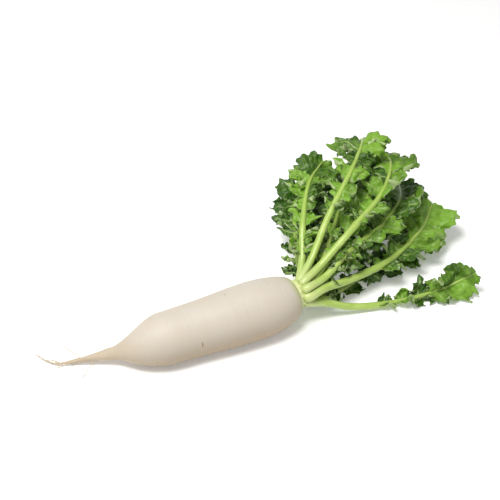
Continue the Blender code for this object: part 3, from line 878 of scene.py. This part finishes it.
# The blade's relief, in millimetres: ruffles along the margin, crumples and finer crinkles all over,
# puffs between the side veins, and a groove along each main vein.
ROUND_TURN = 6.283
RUFFLE_HEIGHT = 4.2
RUFFLE_LENGTH = 15.0
SMALL_RUFFLE_SHARE = 0.5
SMALL_RUFFLE_LENGTH = 8.3
RUFFLE_REACH = 2.4
RUFFLE_START = 14
CRUMPLE_HEIGHT = 8.0
CRUMPLE_SIZE = 13.0
CRINKLE_HEIGHT = 3.4
CRINKLE_FINENESS = 2.4
PUFF_HEIGHT = 0.75
PUFF_FULLNESS = 0.7
PUFF_REACH = 4
GROOVE_DEPTH = 0.9
GROOVE_WIDTH = 1.5
RELIEF_START = 7
VEIN_SPACING = 8.5
VEIN_LEAN = 0.75
VEIN_START = 20
END_VEIN_LEAN = 0.7
END_VEIN_START = 0.3


def blade_relief(spot, run, out, reach, vein, branch, phase):
    """How far the blade stands off its smooth sheet: ruffled, crumpled, puffed up between its veins."""
    start = min(1.0, out / RELIEF_START)
    ripple = math.sin(ROUND_TURN * run / RUFFLE_LENGTH + phase)
    ripple += SMALL_RUFFLE_SHARE * math.sin(ROUND_TURN * run / SMALL_RUFFLE_LENGTH + 2 * phase)
    crumple = CRUMPLE_HEIGHT * noise.noise(spot) * start
    crinkle = CRINKLE_HEIGHT * noise.noise(spot * CRINKLE_FINENESS) * start
    relief = RUFFLE_HEIGHT * ripple * reach**RUFFLE_REACH * min(1.0, out / RUFFLE_START)
    relief += crumple + crinkle
    puff = abs(math.sin(math.pi * branch)) ** PUFF_FULLNESS
    relief += PUFF_HEIGHT * puff * start * (1 - reach**PUFF_REACH)
    return relief - GROOVE_DEPTH * math.exp(-((vein / GROOVE_WIDTH) ** 2)) * start


def thickened(shape, thickness, materials):
    """Gives a sheet its thickness, downwards, with the second material on its underside."""
    sheet = bpy.data.meshes.new("sheet")
    shape.to_mesh(sheet)
    shape.free()
    for material in materials:
        sheet.materials.append(material)
    holder = bpy.data.objects.new("sheet", sheet)
    bpy.context.scene.collection.objects.link(holder)
    wall = holder.modifiers.new("wall", "SOLIDIFY")
    wall.thickness, wall.offset, wall.use_even_offset = thickness, -1.0, False
    wall.material_offset, wall.material_offset_rim = 1, 0
    made = bpy.data.meshes.new_from_object(holder.evaluated_get(bpy.context.evaluated_depsgraph_get()))
    shape = bmesh.new()
    shape.from_mesh(made)
    bpy.data.objects.remove(holder)
    return shape


# What a leaf's finishes read from its mesh, besides their place on the leaf.
LEAF_VALUES = "vein", "branch", "reach", "tone_and_shade"
# The draw of the greens, how much darker a pressed leaf is painted, as painted shade under the
# others, and how far apart the leaflets and the leaves are read in the patterns.
LEAF_TONES = 0.25, 0.75
LOBE_TONES = -0.45, 0.45
PRESSED_PAINTED_SHADE = 0.5
TONE_SHIFT = 40
DRIFT = 31.7, 12.3


def make_leaf(name, spec, number):
    """One whole leaf: the blade's sheet with its thickness, then the stalk and rib through it."""
    line = leaf_line(spec)
    lobes = lobe_plan(name, spec)
    columns = blade_columns(line, lobes)
    draw = random.Random(f"finish {name} {spec['finish']}")
    # A leaf pressed under the others is given a darker tone: painted shade.
    leaf_tone_and_shade = draw.uniform(*LEAF_TONES) - PRESSED_PAINTED_SHADE * (1 - spec["loose"])
    end = len(lobes) - 1
    places = [(i, side) for i in range(end, -1, -1) for side in (-1, 1)]
    tones = {place: leaf_tone_and_shade + draw.uniform(*LOBE_TONES) for place in places}
    depths = {(*place, tooth): TOOTH_DEPTH * draw.uniform(*TOOTH_DEPTHS)
              for place in places for tooth in range(MOST_TEETH)}
    bends = {place: draw.choice((-1, 1)) * draw.uniform(*BENDS) * spec["loose"] for place in places}
    phases = {place: draw.uniform(*PHASES) for place in places}
    drift = Vector((number * DRIFT[0], number * DRIFT[1], 0))

    shape = bmesh.new()
    layers = [shape.verts.layers.float_vector.new("leaf_place")]
    layers += [shape.verts.layers.float.new(value) for value in LEAF_VALUES]
    relief_layer = shape.verts.layers.float.new("relief")
    last = len(columns) - 1

    def blade_point(share_along, share_across):
        """A point of the blade's sheet, from the blade's start to its tip and from margin to margin."""
        column = columns[round(share_along * last)]
        i, share, width = column["lobe"], column["share"], column["width"]
        side = -1 if share_across < 0.5 else 1
        reach = 1 - (1 - abs(share_across * 2 - 1)) ** ROW_CROWDING
        rib = line.length * lobes[i]["first"] + width * share
        full, slant, lift, curl, twist = (
            mixed(lobes, i, side, share, key) for key in ("out", "slant", "lift", "curl", "twist")
        )
        at_tip = i == end and share >= 1
        out = max(full * lobe_reach(lobes, i, share), 0.0 if at_tip else BLADE_MARGIN) * reach
        tooth = column["tooth"]
        notch = abs(2 * (tooth % 1) - 1) ** TOOTH_POINTEDNESS
        bite = depths[i, side, int(tooth)] * notch * reach**TOOTH_REACH * min(1.0, out / TOOTH_START)
        if not at_tip:
            out = max(TOOTH_MARGIN * reach, out - bite)
            if i < end:
                rib += bite * TOOTH_LEAN * (0.5 - share)
        centre, up, left = blade_frame(spec, line, rib + out * math.sin(slant))
        flat = out * math.cos(slant) ** BLADE_NARROWING
        twisted = twist * (share - 0.5) * width * min(1.0, out / TWIST_START)
        ease = min(1.0, BEND_EASE * share * (1 - share)) if i < end else min(1.0, END_BEND_EASE * share)
        across, height = curled(flat, full, lift, curl, twisted, bends[i, side] * ease)
        point = centre + left * side * across + up * height

        offset = abs((share - 0.5) * width)
        if i < end:
            vein, branch = offset, (out - VEIN_LEAN * offset) / VEIN_SPACING + VEIN_START
        else:
            vein, branch = out, (rib - END_VEIN_LEAN * out) / VEIN_SPACING + END_VEIN_START
        spot = Vector((rib / CRUMPLE_SIZE, side * out / CRUMPLE_SIZE, 0)) + drift
        relief = blade_relief(spot, column["run"], out, reach, vein, branch, phases[i, side])
        pattern_place = Vector((rib, side * out, tones[i, side] * TONE_SHIFT))
        return point, (pattern_place, vein, branch, reach, tones[i, side], relief)

    made = shaped_grid(shape, last, 2 * BLADE_ROWS, blade_point, (*layers, relief_layer))
    bmesh.ops.remove_doubles(shape, verts=made, dist=BLADE_MERGE)
    shape.normal_update()
    if sum(face.normal.z for face in shape.faces) < 0:
        bmesh.ops.reverse_faces(shape, faces=shape.faces)
        shape.normal_update()
    # Each point moves out by its relief, and one that would sink into the surface settles above it.
    for vert in shape.verts:
        height = (vert.co.z + vert.normal.z * vert[relief_layer] * MM) / MM
        vert.co += vert.normal * vert[relief_layer] * MM
        settled = BLADE_SETTLE * math.log1p(math.exp((height - BLADE_FLOOR) / BLADE_SETTLE))
        vert.co.z = (BLADE_FLOOR + settled) * MM
    shape.verts.layers.float.remove(relief_layer)
    shape = thickened(shape, BLADE_THICKNESS * MM, [blade_top, blade_under, stalk_skin])
    layers = [shape.verts.layers.float_vector["leaf_place"]]
    layers += [shape.verts.layers.float[value] for value in LEAF_VALUES]
    blade_faces = set(shape.faces)

    def stalk_place_radius(share, angle):
        """The stalk's radius there, with its broad foot, the groove along its top and its strands."""
        at = share * RIB_END
        radius = stalk_radius(spec, at)
        young = 1 - smoothstep(at / spec["blade"])
        from_top = abs((angle - math.pi / 2 + math.pi) % (2 * math.pi) - math.pi)
        groove = math.exp(-((from_top / STALK_GROOVE_ANGLE) ** 2))
        radius *= 1 + FOOT_SWELL * (1 - smoothstep(at / FOOT_SHARE)) - STALK_GROOVE * groove * young
        strand = math.sin(STRANDS * angle + 2 * math.sin(at * STRANDS))
        radius += STRAND_HEIGHT * strand * min(1.0, radius / STRAND_RADIUS)
        return max(STALK_LEAST_RADIUS, radius)

    def stalk_values(share, angle):
        """What the finish needs to know of a place on the stalk."""
        around = math.cos(angle) * STALK_PATTERN_RADIUS, math.sin(angle) * STALK_PATTERN_RADIUS
        return Vector((share * RIB_END * line.length, *around)), 0.0, 0.0, share, leaf_tone_and_shade

    stations = [line.at(line.length * RIB_END * k / STALK_STATIONS) for k in range(STALK_STATIONS + 1)]
    stalk_line = Line(stations, steps=2)
    add_tube(shape, stalk_line, stalk_place_radius, STALK_ROWS, STALK_SIDES, layers, stalk_values)
    stalk_faces = [face for face in shape.faces if face not in blade_faces]
    for face in stalk_faces:
        face.material_index = 2
    bmesh.ops.recalc_face_normals(shape, faces=stalk_faces)
    finished_piece(f"frond_{number:02d}", shape, [blade_top, blade_under, stalk_skin], name)


TOP_DARK = 0.028, 0.105, 0.004, 1
TOP_LIGHT = 0.26, 0.50, 0.045, 1
TOP_VEIN = 0.42, 0.58, 0.17, 1
UNDER_DARK = 0.26, 0.40, 0.12, 1
UNDER_LIGHT = 0.50, 0.64, 0.27, 1
UNDER_VEIN = 0.60, 0.72, 0.34, 1
SEE_THROUGH = 0.35
STALK_FOOT_GREEN = 0.46, 0.54, 0.20, 1
STALK_GREEN = 0.34, 0.47, 0.10, 1
RIB_GREEN = 0.31, 0.45, 0.085, 1
STRAND_GREEN = 0.25, 0.42, 0.05, 1
BLOTCH_GREEN = 0.56, 0.64, 0.22, 1
STRAND_PATTERN = 0.012, 0.75, 0.75
BLOTCH_PATTERN = 0.05, 0.12, 0.12


def blade_finish(name, dark, light, vein_colour, vein_share, dry):
    """A leaf's skin: its green, mottled from place to place, with its veins and its translucent body."""
    material, tree, shader = new_material(name)
    place = attribute(tree, "leaf_place", "Vector")
    tone_and_shade = attribute(tree, "tone_and_shade")
    reach = attribute(tree, "reach")
    wide = noise_value(tree, place, 0.045, 3.0, 0.6)
    fine = noise_value(tree, place, 0.35, 3.0, 0.6)
    cells = put(tree, "ShaderNodeTexVoronoi", {"Vector": place, "Scale": 0.42}, feature="DISTANCE_TO_EDGE")
    net = ramp(tree, cells.outputs["Distance"], 0.0, 0.09, 1.0, 0.0)
    # The leaf's tone holds the painted shade of pressed leaves as well as its drawn green.
    shade = total(tree, product(tree, wide, 0.9), product(tree, tone_and_shade, 0.65))
    colour = mix_colour(tree, ramp(tree, shade, 0.5, 1.05), dark, light)
    colour = mix_colour(tree, ramp(tree, fine, 0.42, 0.75, 0.0, 0.35), colour, light)
    colour = mix_colour(tree, product(tree, net, 0.16 * vein_share), colour, vein_colour)
    phase = math_node(tree, "SUBTRACT", math_node(tree, "FRACT", attribute(tree, "branch")), 0.5)
    branch = ramp(tree, math_node(tree, "ABSOLUTE", phase), 0.44, 0.492)
    branch = product(tree, branch, ramp(tree, reach, 0.97, 0.55, 0.15, 0.75))
    main = ramp(tree, attribute(tree, "vein"), 1.25, 0.35)
    main = product(tree, main, ramp(tree, reach, 1.0, 0.75))
    veins = math_node(tree, "MAXIMUM", main, branch)
    colour = mix_colour(tree, product(tree, veins, vein_share), colour, vein_colour)
    coloured(tree, shader, colour, ramp(tree, fine, 0.3, 0.7, dry - 0.07, dry + 0.07))
    height = total(tree, product(tree, net, -0.4), product(tree, veins, -0.9))
    height = total(tree, height, product(tree, fine, 0.7))
    facing = fine_relief(tree, shader, height, 0.45, 0.0006)
    shader.inputs["Sheen Weight"].default_value = 0.05
    shader.inputs["Sheen Roughness"].default_value = 0.45
    shader.inputs["Specular IOR Level"].default_value = 0.5
    through = put(tree, "ShaderNodeBsdfTranslucent", {"Color": colour, "Normal": facing})
    both = put(tree, "ShaderNodeMixShader", {0: SEE_THROUGH, 1: shader.outputs[0], 2: through.outputs[0]})
    tree.links.new(both.outputs[0], tree.nodes["Material Output"].inputs["Surface"])
    return material


blade_top = blade_finish("leaf_top", TOP_DARK, TOP_LIGHT, TOP_VEIN, 0.6, 0.35)
blade_under = blade_finish("leaf_under", UNDER_DARK, UNDER_LIGHT, UNDER_VEIN, 0.9, 0.5)

stalk_skin, tree, shader = new_material("stalk_skin")
place = attribute(tree, "leaf_place", "Vector")
share = attribute(tree, "reach")
strands = noise_value(tree, scaled(tree, place, STRAND_PATTERN), 1.0, 3.0, 0.6)
blotch = noise_value(tree, scaled(tree, place, BLOTCH_PATTERN), 1.0, 3.0)
colour = mix_colour(tree, ramp(tree, share, 0.02, 0.14), STALK_FOOT_GREEN, STALK_GREEN)
colour = mix_colour(tree, ramp(tree, share, 0.3, 0.75), colour, RIB_GREEN)
colour = mix_colour(tree, ramp(tree, strands, 0.45, 0.72, 0.0, 0.5), colour, STRAND_GREEN)
colour = mix_colour(tree, ramp(tree, blotch, 0.5, 0.75, 0.0, 0.45), colour, BLOTCH_GREEN)
coloured(tree, shader, colour, ramp(tree, strands, 0.3, 0.7, 0.30, 0.42))
fine_relief(tree, shader, strands, 0.4, 0.0005)
juicy_flesh(shader, 0.15, (0.7, 1.0, 0.3), 0.003)

for number, (name, spec) in enumerate(LEAVES.items(), 1):
    make_leaf(name, spec, number)


# --------------------------------------------------
# Table top. A plain matt white surface for the radish to lie on, with one soft light above it on the
# left and a white room all round. Far off, the surface brightens until it is as pale as the room.

TABLE_WHITE = 0.92, 0.92, 0.92, 1
TABLE_ROUGHNESS = 0.8
TABLE_HALF_WIDTH = 6.0
# How brightly the table glows of itself, near and far, and between which distances that grows.
TABLE_GLOW = 0.18, 0.75
TABLE_FADE = 0.7, 2.2
# How bright the room is, level with the table and overhead, and between which heights that fades.
ROOM_GLOW = 1.0, 0.38
ROOM_FADE = 0.05, 0.22
WHITE = 1.0, 1.0, 1.0, 1
KEY_PLACE = Vector((-0.32, -0.15, 1.30))
KEY_AIM = Vector((0.05, 0.03, 0.03))
KEY_SIZE = 0.6
KEY_POWER = 22.0
KEY_COLOUR = 1.0, 0.99, 0.97

table_finish, tree, shader = new_material("white_table")
shader.inputs["Base Color"].default_value = TABLE_WHITE
shader.inputs["Roughness"].default_value = TABLE_ROUGHNESS
shader.inputs["Emission Color"].default_value = WHITE
away = put(tree, "ShaderNodeVectorMath", {0: put(tree, "ShaderNodeTexCoord").outputs["Object"]},
           operation="LENGTH").outputs["Value"]
tree.links.new(ramp(tree, away, *TABLE_FADE, *TABLE_GLOW), shader.inputs["Emission Strength"])
shape = bmesh.new()
bmesh.ops.create_grid(shape, x_segments=1, y_segments=1, size=TABLE_HALF_WIDTH)
table_mesh = bpy.data.meshes.new("table_top")
shape.to_mesh(table_mesh)
shape.free()
table_mesh.materials.append(table_finish)
table = bpy.data.objects.new("table_top", table_mesh)
bpy.context.scene.collection.objects.link(table)

key_light = bpy.data.lights.new("key", "AREA")
key_light.size, key_light.energy, key_light.color = KEY_SIZE, KEY_POWER, KEY_COLOUR
key = bpy.data.objects.new("key", key_light)
key.location = KEY_PLACE
key.rotation_euler = (KEY_AIM - KEY_PLACE).to_track_quat("-Z", "Y").to_euler()
bpy.context.scene.collection.objects.link(key)

room = bpy.data.worlds.new("studio")
room.use_nodes = True
tree = room.node_tree
background = tree.nodes["Background"]
background.inputs["Color"].default_value = WHITE
direction = put(tree, "ShaderNodeTexCoord").outputs["Generated"]
height = put(tree, "ShaderNodeSeparateXYZ", {0: direction}).outputs[2]
tree.links.new(ramp(tree, height, *ROOM_FADE, *ROOM_GLOW), background.inputs["Strength"])
bpy.context.scene.world = room
bpy.context.scene.view_settings.view_transform = "Standard"


# --------------------------------------------------
# Camera. It looks down across the radish from the side, a little towards the tail, with the tail on
# the left and the leaves on the right. Lengths are in metres, but the sensor's is in millimetres.

CAMERA_AZIMUTH = math.radians(-25)
CAMERA_ELEVATION = math.radians(38)
CAMERA_DISTANCE = 1.5
FRAME_WIDTH = 0.5165
SENSOR = 36.0
LOOK_RIGHT = 0.0362
LOOK_UP = 0.0989

sin_a, cos_a = math.sin(CAMERA_AZIMUTH), math.cos(CAMERA_AZIMUTH)
sin_e, cos_e = math.sin(CAMERA_ELEVATION), math.cos(CAMERA_ELEVATION)
right = Vector((cos_a, sin_a, 0))
upward = Vector((-sin_a * sin_e, cos_a * sin_e, cos_e))
backward = Vector((sin_a * cos_e, -cos_a * cos_e, sin_e))
camera = bpy.data.cameras.new("camera")
camera.sensor_width = SENSOR
camera.lens = SENSOR * CAMERA_DISTANCE / FRAME_WIDTH
viewer = bpy.data.objects.new("camera", camera)
viewer.location = right * LOOK_RIGHT + upward * LOOK_UP + backward * CAMERA_DISTANCE
viewer.rotation_euler = Matrix((right, upward, backward)).transposed().to_euler()
bpy.context.scene.collection.objects.link(viewer)
bpy.context.scene.camera = viewer
